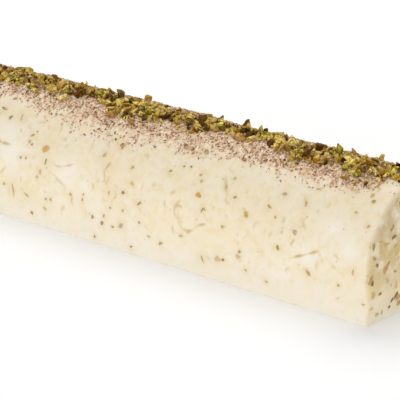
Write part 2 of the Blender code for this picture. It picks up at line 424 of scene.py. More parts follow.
def base_grid(rows):
    """Points and directions out for every station and row, with the end edges rounded."""
    _, y, z, out_y, out_z = rows.T
    radius = end_round(z)
    turn = np.linspace(0, math.pi / 2, END_CELLS + 1)[:-1, None]
    end_x = LENGTH / 2 - radius * (1 - np.cos(turn))
    end_inset = radius * (1 - np.sin(turn))
    middle_x = np.linspace(1, -1, CELLS_ALONG + 1 - 2 * END_CELLS)[:, None] * (LENGTH / 2 - radius)
    x = np.vstack([end_x, middle_x, -end_x[::-1]])
    inset = np.vstack([end_inset, np.zeros_like(middle_x), end_inset[::-1]]) * np.clip(z / FOOT_ROUND, 0.35, 1)
    points = np.stack([x, y - inset * out_y, np.maximum(0, z - inset * out_z)], axis=-1)
    outs = np.stack([np.zeros_like(x), np.broadcast_to(out_y, x.shape), np.broadcast_to(out_z, x.shape)], axis=-1)
    return points, outs


rows = row_places()
base_points, base_outs = base_grid(rows)
print(base_points.shape[0], "stations and", len(rows), "rows, about", round(2 * HALF_GIRTH / MM / ROWS, 2), "mm apart")

# %% Meshing the skin, finer along the creases


def add_grid(shape, points):
    """Adds a grid of quads to a bmesh."""
    across, up = points.shape[:2]
    verts = [shape.verts.new(point) for point in points.reshape(-1, 3)]
    for i in range(across - 1):
        for j in range(up - 1):
            corner = i * up + j
            shape.faces.new((verts[corner], verts[corner + 1], verts[corner + up + 1], verts[corner + up]))


def refine_creases(shape):
    """Cuts the quads along each crease in three, both ways."""
    along, around = unroll(np.array([vertex.co for vertex in shape.verts]))
    near = np.zeros(along.shape, dtype=bool)
    for places, half_width, _ in creases:
        near |= line_gap(along / MM, around / MM, places) < 1.6 * half_width + 0.3
    shape.verts.index_update()
    faces = [face for face in shape.faces if any(near[vertex.index] for vertex in face.verts)]
    edges = list({edge for face in faces for edge in face.edges})
    bmesh.ops.subdivide_edges(shape, edges=edges, cuts=2, use_grid_fill=True)
    return len(faces)


def end_grid(ring, side):
    """Fills an end by blending its foot line, vault and two walls, and gives it its relief."""
    front = ring[: CELLS_UP + 1]
    top = ring[CELLS_UP: CELLS_UP + CELLS_ACROSS + 1]
    back = ring[CELLS_UP + CELLS_ACROSS:][::-1]
    a = np.linspace(0, 1, CELLS_ACROSS + 1)[:, None, None]
    b = np.linspace(0, 1, CELLS_UP + 1)[None, :, None]
    foot = ring[0] * (1 - a[:, 0]) + ring[-1] * a[:, 0]
    corners = (1 - b) * ((1 - a) * ring[0] + a * ring[-1]) + b * ((1 - a) * top[0] + a * top[-1])
    filled = (1 - b) * foot[:, None] + b * top[:, None] + (1 - a) * front[None] + a * back[None] - corners
    flat = filled.copy()
    flat[..., 0] = side * LENGTH / 2
    depth = end_relief(flat, side)
    filled[1:-1, :-1, 0] = (flat[..., 0] - side * depth)[1:-1, :-1]
    return filled


def make_body():
    """The closed body, its relief put on."""
    shape = bmesh.new()
    add_grid(shape, base_points)
    refined = refine_creases(shape)
    points = np.array([vertex.co for vertex in shape.verts])
    along, around = unroll(points)
    for vertex, place in zip(shape.verts, relieved(points, smooth_skin(along, around)[1], along, around)):
        vertex.co = place
    for side, station in ((1, 0), (-1, -1)):
        ring = np.array([Vector(point) for point in base_points[station]])
        along, around = unroll(ring)
        add_grid(shape, end_grid(relieved(ring, smooth_skin(along, around)[1], along, around), side))
    bmesh.ops.remove_doubles(shape, verts=shape.verts, dist=0.002 * MM)
    bmesh.ops.holes_fill(shape, edges=[edge for edge in shape.edges if edge.is_boundary], sides=0)
    bmesh.ops.recalc_face_normals(shape, faces=shape.faces)
    closed = all(edge.is_manifold for edge in shape.edges)
    body = finish_piece(shape, "nougat_body")
    body.data.shade_smooth()
    print("nougat_body:", refined, "quads refined,", len(body.data.polygons), "faces, closed:", closed)
    return body


body = make_body()

# %% [markdown]
# ## Nut and fruit set in the cream
#
# Bits of nut and candied fruit, 1 to 4 mm long, lie in the skin, and more of them show in the cut ends.
# The largest are put where they are seen, and a seeded rule sets others at the same spacing wherever
# the real places aren't known. Each bit is one row of a table.

# %% The table of bits
# How large a share of the random bits each kind is.
BIT_SHARES = {
    "husk": 0.20, "nut": 0.24, "mauve": 0.14, "olive": 0.22, "green": 0.05, "tan": 0.08, "amber": 0.05, "dark": 0.02,
}
# A bit is its place along and round in mm, its length and width in mm, its turn in degrees and its kind.
SEEN_BITS = (
    (-87.1, -32.1, 2.2, 1.6, 60, "husk"), (-80.4, -31.0, 3.6, 0.8, 100, "olive"), (-68.3, -38.7, 2.2, 1.2, 40, "nut"),
    (-65.8, -36.2, 1.0, 0.8, 0, "husk"), (-68.6, -42.2, 1.6, 1.0, 70, "nut"), (-66.5, -43.4, 1.3, 1.0, 0, "husk"),
    (-57.2, -43.5, 3.5, 2.9, 20, "amber"), (-71.9, -51.5, 1.3, 1.1, 0, "nut"), (-68.5, -50.8, 1.4, 1.2, 0, "nut"),
    (-54.6, -50.0, 3.0, 1.0, 80, "green"), (-57.2, -56.0, 2.6, 0.9, 95, "olive"), (-59.0, -59.0, 1.7, 1.3, 0, "mauve"),
    (-75.9, -69.0, 4.0, 1.0, 100, "olive"), (-66.4, -69.8, 4.2, 0.9, 155, "olive"),
    (-82.7, -67.9, 1.6, 1.3, 0, "olive"),
    (-52.7, -69.2, 1.7, 1.2, 0, "nut"), (-49.5, -68.6, 1.7, 1.4, 0, "nut"), (-53.3, -74.3, 1.9, 1.1, 140, "olive"),
    (-62.2, -78.7, 1.5, 1.3, 0, "husk"), (-35.8, -62.8, 1.7, 1.4, 30, "nut"), (-26.9, -61.0, 1.3, 0.6, 75, "husk"),
    (-27.6, -63.8, 1.8, 0.8, 80, "husk"), (-18.2, -38.7, 2.3, 1.7, 50, "mauve"), (-13.8, -43.6, 3.2, 0.7, 65, "olive"),
    (-10.0, -31.3, 2.8, 2.2, 0, "nut"), (1.3, -41.0, 1.8, 1.5, 20, "nut"), (3.8, -48.6, 2.0, 1.4, 0, "tan"),
    (-0.6, -54.2, 1.8, 1.4, 0, "husk"), (-9.7, -56.0, 2.8, 0.8, 85, "olive"), (10.5, -57.2, 2.4, 1.1, 35, "husk"),
    (-8.2, -63.5, 1.2, 0.9, 0, "nut"), (0.3, -63.1, 1.7, 0.8, 80, "olive"), (-20.9, -71.2, 2.0, 1.5, 30, "husk"),
    (-12.8, -68.9, 2.6, 0.9, 75, "nut"), (-13.8, -73.1, 1.9, 1.5, 20, "husk"), (-6.7, -73.1, 1.6, 1.3, 0, "nut"),
    (-1.2, -71.1, 2.6, 2.2, 0, "mauve"), (11.2, -66.8, 1.7, 1.4, 0, "nut"), (-18.9, -81.0, 1.2, 1.0, 0, "husk"),
    (17.2, -72.4, 1.4, 1.1, 0, "olive"), (24.5, -74.4, 2.2, 1.6, 40, "husk"), (5.8, -80.5, 1.6, 0.8, 20, "husk"),
    (38.0, -67.2, 1.9, 1.2, 0, "olive"), (24.5, -37.2, 1.5, 1.1, 0, "nut"), (30.8, -33.3, 1.2, 1.0, 0, "husk"),
    (35.1, -32.6, 1.3, 1.1, 0, "husk"), (45.6, -45.1, 2.8, 2.4, 10, "amber"), (49.8, -51.6, 2.4, 0.8, 60, "husk"),
    (51.2, -50.9, 1.8, 0.8, 130, "olive"), (34.9, -23.8, 2.6, 1.6, 60, "amber"), (62.5, -32.6, 1.4, 1.2, 0, "olive"),
    (66.7, -41.4, 1.7, 1.3, 30, "green"), (42.9, -35.2, 1.6, 1.2, 0, "nut"), (44.6, -38.1, 1.8, 1.3, 0, "mauve"),
    (59.9, -37.4, 1.6, 1.1, 90, "amber"), (63.3, -56.8, 1.5, 1.2, 0, "olive"), (75.9, -47.8, 2.4, 2.1, 0, "amber"),
    (87.1, -41.0, 2.2, 1.3, 150, "nut"), (92.8, -33.4, 2.4, 2.0, 0, "mauve"), (106.3, -35.2, 2.2, 0.9, 110, "nut"),
    (92.5, -45.3, 1.2, 1.0, 0, "olive"), (105.2, -49.4, 2.1, 1.6, 130, "mauve"), (97.1, -58.9, 2.2, 1.7, 60, "green"),
    (74.4, -66.6, 1.8, 1.2, 20, "husk"), (64.3, -72.8, 1.6, 1.3, 0, "husk"), (61.0, -73.1, 2.8, 2.2, 0, "tan"),
    (51.7, -75.4, 3.0, 0.9, 120, "olive"), (73.5, -69.2, 2.4, 2.0, 0, "tan"), (78.2, -74.8, 1.9, 1.0, 140, "olive"),
    (114.9, -67.1, 2.5, 1.7, 110, "nut"), (139.7, -25.5, 1.6, 1.4, 0, "husk"), (143.2, -37.9, 1.4, 1.1, 90, "nut"),
    (134.0, -33.0, 1.2, 1.0, 0, "mauve"), (140.4, -60.2, 2.2, 0.9, 85, "olive"), (127.8, -22.5, 3.4, 1.7, 0, "tan"),
    (133.4, -18.8, 1.6, 1.3, 0, "mauve"), (108.8, -26.4, 1.6, 1.2, 0, "nut"), (148.2, -46.0, 2.8, 1.1, 85, "husk"),
    (147.2, -74.0, 2.0, 1.3, 10, "tan"), (132.4, -68.5, 1.4, 1.0, 0, "olive"), (91.0, -77.2, 1.5, 1.0, 0, "olive"),
)
# On the end: Y and Z in mm, then the same as above.
SEEN_END_BITS = (
    (-37.9, 22.2, 4.6, 2.8, 80, "nut"), (-36.5, 20.6, 2.2, 1.7, 60, "dark"), (-26.2, 25.2, 4.4, 2.4, 70, "nut"),
    (-24.4, 27.0, 2.6, 0.8, 62, "husk"), (-33.0, 28.2, 2.0, 1.5, 0, "dark"), (-35.4, 37.8, 4.0, 1.8, 85, "husk"),
    (-21.9, 43.1, 2.8, 1.4, 60, "husk"), (-20.2, 38.3, 3.2, 1.2, 20, "dark"), (-18.4, 31.8, 5.2, 3.0, 80, "olive"),
    (-19.6, 33.8, 2.4, 1.2, 30, "husk"), (-17.2, 27.4, 2.4, 1.6, 70, "tan"), (-17.8, 10.0, 3.6, 1.5, 46, "dark"),
    (-20.8, 8.0, 2.8, 1.3, 30, "dark"), (-15.4, 8.0, 4.2, 2.2, 50, "nut"), (-18.4, 14.4, 3.0, 1.6, 80, "tan"),
    (-31.0, 14.1, 1.6, 1.0, 0, "husk"), (-22.9, 5.2, 1.9, 1.2, 20, "dark"), (-15.4, 5.4, 3.6, 2.2, 20, "nut"),
    (-36.2, 8.2, 1.8, 1.3, 10, "tan"),
)
BIT_SEED = 23
SKIN_BITS = 230
END_BITS = {1: 46, -1: 58}
END_BIT_GAP = 3.6


def random_bit(draw, along, around, growth):
    """A bit of a random kind, size and turn, larger by growth."""
    length = (0.9 + 1.9 * draw.random() ** 2) * growth
    width = length * draw.uniform(0.35, 0.9)
    turn = draw.uniform(0, 180)
    return along, around, length, width, turn, draw.choices(list(BIT_SHARES), BIT_SHARES.values())[0]


def random_end_bits(draw, count, taken):
    """Bits over an end face, clear of those that are taken."""
    bits = list(taken)
    while len(bits) < count + len(taken):
        y = draw.uniform(-0.47, 0.47) * FOOT_WIDTH / MM
        z = draw.uniform(0.02, 0.95) * HEIGHT / MM
        in_section = z < VAULT_AXIS / MM or math.hypot(y, z - VAULT_AXIS / MM) < VAULT_RADIUS / MM - 3
        if in_section and all(math.hypot(y - other[0], z - other[1]) > END_BIT_GAP for other in bits):
            bits.append(random_bit(draw, y, z, 1.7))
    return bits


bit_draw = random.Random(BIT_SEED)
skin_bits = list(SEEN_BITS) + [
    random_bit(bit_draw, *unseen_place(bit_draw, 0.485, 0.97, BIT_CLEARANCE), 1) for _ in range(SKIN_BITS)
]
end_bits = {side: random_end_bits(bit_draw, count, SEEN_END_BITS if side == 1 else ())
            for side, count in END_BITS.items()}
print(len(skin_bits), "bits in the skin and", len(end_bits[1]), "in the end that shows")

# %% [markdown]
# ## The strip of nuts and the dusting beside it
#
# The pistachio lies in a strip, a little to the front of the ridge, and noise makes both its edges
# wander. Crumbs of cocoa and praline were sifted over it and rolled down the shoulders. They lie thick
# beside the nuts, thin out in drifts halfway down the vault, and stop short of the ends. One formula
# gives how thickly a place is dusted, and both the painted tint and the loose crumbs use it.

# %% The strip and the dusting
# The strip's edges are measured round the skin from the ridge, in mm, and the front one by station.
BACK_EDGE = 4.2
FRONT_STATIONS = (
    (-150, 11.0), (-112, 12.0), (-96, 10.2), (-74, 8.8), (-61, 5.8), (-48, 6.2), (-38, 9.8),
    (-24, 13.8), (-8, 14.2), (2, 9.2), (16, 11.2), (32, 8.8), (50, 8.8), (64, 5.8),
    (74, 11.8), (92, 12.6), (106, 8.4), (122, 13.0), (130, 13.4), (140, 10.2), (150, 9.0),
)
STRIP_RAGGED = 5.0
RAGGED_LENGTH = 9 * MM
STRIP_FADE = 4 * MM
DUST_FULL = 18 * MM
# How far round the dusting reaches at stations along the log, in mm.
DUST_STATIONS = (-150, -95, -75, -40, -5, 30, 60, 120, 150)
DUST_REACH = (24, 25, 30, 36, 34, 30, 28, 27, 22)
DUST_END_FADE = (9 * MM, 20 * MM)
DRIFT_LENGTH = 11 * MM


def strip_edge(along, side):
    """How far round from the ridge the strip's edge is here: side is -1 for the front edge and 1 for the back one."""
    reach = float(np.interp(along / MM, *zip(*FRONT_STATIONS))) if side < 0 else BACK_EDGE
    return side * (reach + STRIP_RAGGED * noise.noise(Vector((along / RAGGED_LENGTH, 3.7 * side, 0)))) * MM


def strip_share(along, around):
    """How much a place belongs to the strip of nuts, from 0 to 1."""
    past = abs(around) - abs(strip_edge(along, math.copysign(1, around)))
    return min(1, max(0, 0.5 - past / STRIP_FADE))


def dusting(along, around):
    """How thickly a place is dusted, from 0 to 1."""
    drift = noise.noise(Vector((along / DRIFT_LENGTH, around / DRIFT_LENGTH, 9.1)))
    fine = noise.noise(Vector((along / DRIFT_LENGTH * 3, around / DRIFT_LENGTH * 3, 2.3)))
    gone = float(np.interp(along / MM, DUST_STATIONS, DUST_REACH)) * MM
    reach = abs(around) + 4.5 * MM * drift + 3 * MM * fine
    fade = min(1, max(0, (gone - reach) / (gone - DUST_FULL)))
    from_end = LENGTH / 2 - abs(along) + 3 * MM * drift
    low, high = DUST_END_FADE
    ends = min(1, max(0.06, (from_end - low) / (high - low)))
    return fade ** 1.3 * ends * (0.8 + 0.4 * fine)


print("the strip's front edge is", round(-strip_edge(0, -1) / MM, 1), "mm from the ridge in the middle")

# %% [markdown]
# ## Paint on the body's vertices
#
# Some marks have a known place: creases that show yellower cream, darkened further as painted shade,
# frosty patches, a whiter band at the foot that is painted light bounced up from the floor, the stain
# that each bit leaves around itself, and painted shade under the strip of nuts. The cut ends are painted
# thinner towards the foot, so that they stay lighter there, as painted light bounced up from below. An
# image could hold them, but values written on the vertices need no unwrapping and stay soft-edged at
# their place. The material reads them later.

# %% Values on the vertices
# A frosty mark is its place along and round and its radius, in mm.
FROSTY_MARKS = (
    (-80.0, -50.0, 8.0), (-84.0, -40.0, 6.0), (-38.0, -52.0, 7.0), (136.8, -51.4, 5.0), (124.4, -44.0, 4.5),
    (-18.0, -70.0, 7.0), (95.8, -73.0, 3.0), (102.8, -70.1, 3.0), (-104.0, -44.0, 7.0), (-128.0, -62.0, 7.0),
    (-27.0, -57.0, 3.5), (146.0, -78.0, 5.0), (41.5, -23.6, 2.6), (114.9, -60.4, 4.0),
)
# The cut end's paint starts past this distance from the end and is whole after the next, both in mm. It is
# thin at the foot and whole near the ridge, so that the end stays lighter low down: painted light bounced
# up from below. The whiter band at the foot of the skin, painted light bounced up from the floor, fades out
# above its own height.
END_PAINT_START = 3.2
END_PAINT_FADE = 2.4
END_PAINT_AT_FOOT = 0.14
END_PAINT_RISE = 21
FOOT_BOUNCE_HEIGHT = 24
WHOLE_CREASE_DEPTH = 0.45
FROST_SEED = 6


def spots(along, around, marks, hardness):
    """How much each place lies in one of the marks, from 0 to 1, with an edge that hardness sharpens."""
    shown = np.zeros(along.shape)
    for x, y, radius in marks:
        near = (np.abs(along - x) < 3 * radius) & (np.abs(around - y) < 3 * radius)
        gap = np.hypot(along[near] - x, around[near] - y) / radius
        shown[near] = np.maximum(shown[near], 1 / (1 + gap ** hardness))
    return shown


def paint_vertices(mesh):
    """Writes how much each mark shows on each vertex, from 0 to 1."""
    points = np.array([vertex.co for vertex in mesh.vertices])
    along, around = (place / MM for place in unroll(points))
    x, y, z = points.T / MM
    past = np.abs(x) - LENGTH / MM / 2
    on_end = np.clip((past + END_PAINT_START) / END_PAINT_FADE, 0, 1)
    # Thinner towards the foot, so the end stays lighter low down: painted light bounced up from below.
    on_end = on_end * np.clip(END_PAINT_AT_FOOT + z / END_PAINT_RISE, 0, 1)
    off_end = 1 - on_end
    # How much each crease shows: its yellower cream, and painted shade in the crease.
    creased_and_shaded = np.zeros(along.shape)
    for places, half_width, deep in creases:
        shown = crease_shown(along, around, places, half_width) * min(1, deep / WHOLE_CREASE_DEPTH)
        creased_and_shaded = np.maximum(creased_and_shaded, shown)
    draw = random.Random(FROST_SEED)
    frosty = list(FROSTY_MARKS) + [
        (*unseen_place(draw, 0.49, 0.97, FROST_CLEARANCE), draw.uniform(3, 8)) for _ in range(22)
    ]
    stained = spots(along, around, [(bit[0], bit[1], 1.2 * bit[2]) for bit in skin_bits], 3) * off_end
    for side in (-1, 1):
        marks = [(bit[0], bit[1], 1.3 * bit[2]) for bit in end_bits[side]]
        stained = np.where(x * side > 0, np.maximum(stained, spots(y, z, marks, 3) * on_end), stained)
    places = [(a * MM, r * MM) for a, r in zip(along, around)]
    values = {
        "dusting": [dusting(*place) for place in places] * off_end,
        "creased_and_shaded": creased_and_shaded * off_end,
        # Frosty patches are frost; the whiter band at the foot is painted light bounced up from the floor.
        "frosty": np.maximum(spots(along, around, frosty, 3), np.clip(1 - z / FOOT_BOUNCE_HEIGHT, 0, 1)) * off_end,
        "stained": stained,
        "cut_end_and_bounce": on_end,
        # Painted shade under and between the chips of the strip.
        "shade_under_nuts": [strip_share(*place) for place in places] * off_end,
    }
    for name, shown in values.items():
        mesh.attributes.new(name, "FLOAT", "POINT").data.foreach_set("value", np.asarray(shown, dtype=np.float32))
    print("painted", ", ".join(values))


paint_vertices(body.data)

# %% [markdown]
# ## Helpers for materials
#
# Colours are picked as sRGB hex, as from a paint card, and Blender's shaders take linear light. One
# function turns one into the other, and another adds a node with its settings and links. Most layers
# are laid in the same way, as a tint where a mark shows, so that a material reads as a list of what it
# is made of.

# %% Colour and node helpers


def linear(hex_colour):
    """An sRGB hex colour as linear red, green, blue and alpha."""
    shares = [int(hex_colour[i: i + 2], 16) / 255 for i in (1, 3, 5)]
    return [c / 12.92 if c <= 0.04045 else ((c + 0.055) / 1.055) ** 2.4 for c in shares] + [1.0]


def fill_sockets(tree, node, inputs):
    """Gives each named input its value, or a link where the value is another node's output."""
    for key, value in inputs.items():
        socket = node.inputs[key] if isinstance(key, int) else next(
            found for found in node.inputs if found.name == key and found.enabled
        )
        if isinstance(value, bpy.types.NodeSocket):
            tree.links.new(value, socket)
        else:
            socket.default_value = value


def add_node(tree, kind, inputs=None, stops=(), **settings):
    """Adds a shader node and returns its outputs by name. Stops are the places and colours of a ramp, in order."""
    node = tree.nodes.new("ShaderNode" + kind)
    for name, value in settings.items():
        setattr(node, name, value)
    fill_sockets(tree, node, inputs or {})
    for number, (position, colour) in enumerate(stops):
        ramp = node.color_ramp.elements
        stop = ramp[number] if number < 2 else ramp.new(position)
        stop.position, stop.color = position, colour
    return {output.name: output for output in node.outputs if output.enabled}


def even_stops(hex_colours):
    """Colours evenly spaced over a ramp."""
    return [(number / (len(hex_colours) - 1), linear(colour)) for number, colour in enumerate(hex_colours)]


def lay_over(tree, colour, layers):
    """Lays tints over a colour. A layer is where it shows, as a vertex mark's name or an output, its cover and tint."""
    for mark, cover, tint in layers:
        shown = add_node(tree, "Attribute", attribute_name=mark)["Fac"] if isinstance(mark, str) else mark
        share = add_node(tree, "Math", {0: shown, 1: cover}, operation="MULTIPLY")["Value"]
        colour = add_node(tree, "Mix", {"Factor": share, "A": colour, "B": tint}, data_type="RGBA")["Result"]
    return colour


def new_material(name):
    """A material with its node tree and its one shader."""
    material = bpy.data.materials.new(name)
    material.use_nodes = True
    return material, material.node_tree, material.node_tree.nodes["Principled BSDF"]


print("white is", linear("#FFFFFF"), "and middle grey", [round(share, 2) for share in linear("#808080")])

# %% [markdown]
# ## Frozen nougat cream
#
# Frozen whipped cream is ivory and matt. Light enters it and comes out a millimetre or two away, so
# shadows are soft and edges glow a little. The colour comes from layers, each at its own real size:
# broad clouds, smears, curds, specks of about a millimetre, the marks on the vertices, and on top the
# tint of the finest dust. The cut ends are deeper in colour and blotched, as the frosted skin is gone,
# and lighter low down: painted light bounced up from below. Painted shade lies in the creases and under
# the strip of nuts.

# %% Frozen nougat cream
CREAM = linear("#EEE2C8")
CREAM_DEEP = linear("#EEDFC1")
CREAM_PALE = linear("#EFE4D0")
CREAM_YELLOW = linear("#EBDAB2")
CUT_LOW_BOUNCE = linear("#F8E6BB")
CUT_MIDDLE = linear("#D0BA90")
CUT_TOP = linear("#C4B99E")
CUT_YELLOW = linear("#B8964E")
CUT_PALE = linear("#F2EBDA")
FROST_AND_BOUNCE_WHITE = linear("#F2ECE0")
# Yellower cream of a crease, darkened further as painted shade.
CREASE_YELLOW_AND_SHADE = linear("#C8A752")
NUT_STAIN = linear("#E0CA98")
DUST_PINK = linear("#FAE1C6")
DUST_BROWN = linear("#A0765A")
# Dark brown for the painted shade under the strip of nuts.
SHADE_UNDER_NUTS = linear("#744608")
SPECK_TONES = ("#8A6F4C", "#A88A58", "#94905A", "#8E7A70", "#BF9660")


def specks(tree, place, colour, cell, radius, share):
    """Lays irregular soft specks over a colour: one in some cells of a Voronoi pattern. Sizes are in metres."""
    bent = add_node(tree, "TexNoise", {"Vector": place, "Scale": 0.8 / radius, "Detail": 2.0})["Color"]
    shift = add_node(tree, "VectorMath", {0: bent, 1: (0.5, 0.5, 0.5)}, operation="SUBTRACT")["Vector"]
    scaled = add_node(tree, "VectorMath", {0: shift, "Scale": radius * 1.8}, operation="SCALE")["Vector"]
    moved = add_node(tree, "VectorMath", {0: place, 1: scaled}, operation="ADD")["Vector"]
    cells = add_node(tree, "TexVoronoi", {"Vector": moved, "Scale": 1 / cell})
    parts = add_node(tree, "SeparateColor", {"Color": cells["Color"]})
    chosen = add_node(tree, "Math", {0: parts["Red"], 1: share}, operation="LESS_THAN")["Value"]
    size = add_node(tree, "Math", {0: parts["Green"], 1: 0.7 * radius / cell, 2: 0.4 * radius / cell},
                    operation="MULTIPLY_ADD")["Value"]
    inside = add_node(tree, "Math", {0: size, 1: cells["Distance"]}, operation="SUBTRACT")["Value"]
    edge = add_node(tree, "MapRange", {"Value": inside, "From Max": 0.9 * radius / cell, "To Max": 0.38})["Result"]
    tone = add_node(tree, "ValToRGB", {"Fac": parts["Blue"]}, even_stops(SPECK_TONES))["Color"]
    return lay_over(tree, colour, [(edge, chosen, tone)])


def frozen_nougat_cream():
    """Ivory frozen cream, matt and slightly see-through, with its marks, specks and dust."""
    material, tree, shader = new_material("frozen_nougat_cream")
    place = add_node(tree, "TexCoord")["Object"]
    # Each noise is the length of its bumps in mm, its detail and its distortion. The finest dust is under
    # 0.2 mm, and is drawn at 0.9 mm, the smallest that a picture of this size shows.
    noises = ((16, 4.0, 0), (5, 3.0, 1.2), (3.4, 1.0, 0), (7, 3.0, 0), (0.9, 2.0, 0), (1.1, 3.0, 0))
    clouds, smears, curds, blotches, powder, grain = [
        add_node(tree, "TexNoise",
                 {"Vector": place, "Scale": 1 / (length * MM), "Detail": detail, "Distortion": bent})["Fac"]
        for length, detail, bent in noises
    ]
    colour = add_node(tree, "ValToRGB", {"Fac": clouds}, [(0.27, CREAM_DEEP), (0.50, CREAM), (0.73, CREAM_PALE)])
    smeared = add_node(tree, "MapRange", {"Value": smears, "From Min": 0.55, "From Max": 0.75})["Result"]
    curdled = add_node(tree, "MapRange", {"Value": curds, "From Min": 0.48, "From Max": 0.68})["Result"]
    height = add_node(tree, "SeparateXYZ", {"Vector": place})["Z"]
    risen = add_node(tree, "MapRange", {"Value": height, "From Max": HEIGHT})["Result"]
    # The cut end is lighter low down, as painted light bounced up from below, and greyer near the ridge.
    cut_cream_and_bounce = add_node(tree, "ValToRGB", {"Fac": risen}, [(0.20, CUT_LOW_BOUNCE), (0.56, CUT_MIDDLE), (0.85, CUT_TOP)])
    blotched = add_node(tree, "ValToRGB", {"Fac": blotches}, [(0.38, CUT_YELLOW), (0.50, CUT_MIDDLE), (0.62, CUT_PALE)])
    blotchy = add_node(tree, "MapRange",
                       {"Value": risen, "From Min": 0.20, "From Max": 0.52, "To Min": 0.22, "To Max": 0.66})["Result"]
    colour = lay_over(tree, colour["Color"], [
        (smeared, 1.0, CREAM_DEEP),
        (curdled, 0.8, CREAM_YELLOW),
        ("cut_end_and_bounce", 0.85, lay_over(tree, cut_cream_and_bounce["Color"], [(blotchy, 1.0, blotched["Color"])])),
        # Frost in patches, and a whiter foot that is painted light bounced up from the floor.
        ("frosty", 0.70, FROST_AND_BOUNCE_WHITE),
        ("stained", 0.40, NUT_STAIN),
    ])
    colour = specks(tree, place, colour, 6.0 * MM, 1.2 * MM, 0.5)
    colour = specks(tree, place, colour, 4.2 * MM, 0.7 * MM, 0.4)
    dust = add_node(tree, "Attribute", attribute_name="dusting")["Fac"]
    thick = add_node(tree, "Math", {0: dust, 1: 0.30, 2: -0.80}, operation="MULTIPLY_ADD")["Value"]
    over = add_node(tree, "Math", {0: powder, 1: thick}, operation="ADD")["Value"]
    powdered = add_node(tree, "MapRange", {"Value": over, "From Max": 0.10})["Result"]
    colour = lay_over(tree, colour, [
        # Creases: yellower cream, darkened further as painted shade in the crease.
        ("creased_and_shaded", 0.88, CREASE_YELLOW_AND_SHADE),
        ("dusting", 0.70, DUST_PINK),
        # Dark brown under the strip of nuts: painted shade between the chips.
        ("shade_under_nuts", 0.72, SHADE_UNDER_NUTS),
        (powdered, 0.8, DUST_BROWN),
    ])
    fill_sockets(tree, shader, {
        "Base Color": colour,
        "Normal": add_node(tree, "Bump", {"Height": grain, "Strength": 0.35, "Distance": 0.10 * MM})["Normal"],
        "Roughness": add_node(tree, "MapRange", {"Value": smears, "To Min": 0.48, "To Max": 0.66})["Result"],
        "IOR": 1.36,
        "Subsurface Weight": 0.35,
        "Subsurface Radius": (1.0, 0.75, 0.45),
        "Subsurface Scale": 2.5 * MM,
    })
    return material


body.data.materials.append(frozen_nougat_cream())
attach(body, "root")
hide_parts("iced_nougat")
print("materials:", [material.name for material in body.data.materials])

# %% [markdown]
# ## Shapes of chopped nut
#
# A chopped nut falls into angular chips with flat cuts at every angle. A chip could be a scaled cube,
# but the hull of six of its corners, each moved at random, makes the wedges and splinters that a knife
# does. A small bevel breaks the edges, and each face is cut finer and roughened, as a dry nut crumbles.

# %% Chip shapes
MISSING_CORNERS = 2
# The noise that roughens the chips starts from the clock unless it is given a seed.
CRUMBLE_SEED = 5
noise.seed_set(CRUMBLE_SEED)


def chip_corners(draw, size):
    """The scattered corners of a chip."""
    stretch = Vector((1, draw.uniform(0.55, 0.95), draw.uniform(0.45, 0.85)))
    corners = []
    for corner in sorted(draw.sample(range(8), 8 - MISSING_CORNERS)):
        signs = (corner & 1, corner >> 1 & 1, corner >> 2 & 1)
        corners.append(Vector([sign - 0.5 + draw.uniform(-0.28, 0.28) for sign in signs]) * stretch * size)
    return corners


def add_chip(shape, points, break_width, crumble):
    """Adds a closed chip with broken edges to a bmesh, its faces roughened by crumble, and returns its faces."""
    part = bmesh.new()
    for point in points:
        part.verts.new(point)
    bmesh.ops.convex_hull(part, input=part.verts)
    bmesh.ops.delete(part, geom=[vertex for vertex in part.verts if not vertex.link_faces], context="VERTS")
    bmesh.ops.dissolve_limit(part, angle_limit=math.radians(4), verts=part.verts, edges=part.edges)
    bmesh.ops.bevel(part, geom=part.edges, offset=break_width, segments=1, affect="EDGES", clamp_overlap=True)
    bmesh.ops.triangulate(part, faces=part.faces)
    bmesh.ops.subdivide_edges(part, edges=part.edges, cuts=1)
    bmesh.ops.triangulate(part, faces=part.faces)
    for vertex in part.verts:
        vertex.co += noise.noise_vector(vertex.co / (12 * crumble)) * crumble * 2
    verts = {vertex: shape.verts.new(vertex.co) for vertex in part.verts}
    # A sliver can fold on itself, so each set of corners is taken once.
    corners = {frozenset(face.verts): [verts[vertex] for vertex in face.verts] for face in part.faces}
    faces = [shape.faces.new(found) for found in corners.values()]
    part.free()
    for face in faces:
        face.normal_update()
    return faces


print("a chip is the hull of", 8 - MISSING_CORNERS, "corners")

# %% [markdown]
# ## Shapes of the bits in the cream
#
# A bit in the cream is a ragged flat flake, cut off by the skin. It could be painted on, but a thin
# mesh that stands a hair out of the skin keeps its outline at every distance. Each flake is a crown and
# three rings, with a rim that dips into the cream. Its kind gives it a tone.

# %% Bits in the cream
BIT_GROWTH = 1.8
END_BIT_GROWTH = 2.0
BIT_THICKNESS = 0.8
BIT_STANDS_OUT = 0.14 * MM
BIT_RIM_POINTS = 11
BIT_PIECES = {
    "nut_skin_bits": ("husk", "nut", "mauve", "dark"),
    "pistachio_bits": ("olive", "green"),
    "candied_fruit_bits": ("tan", "amber"),
}


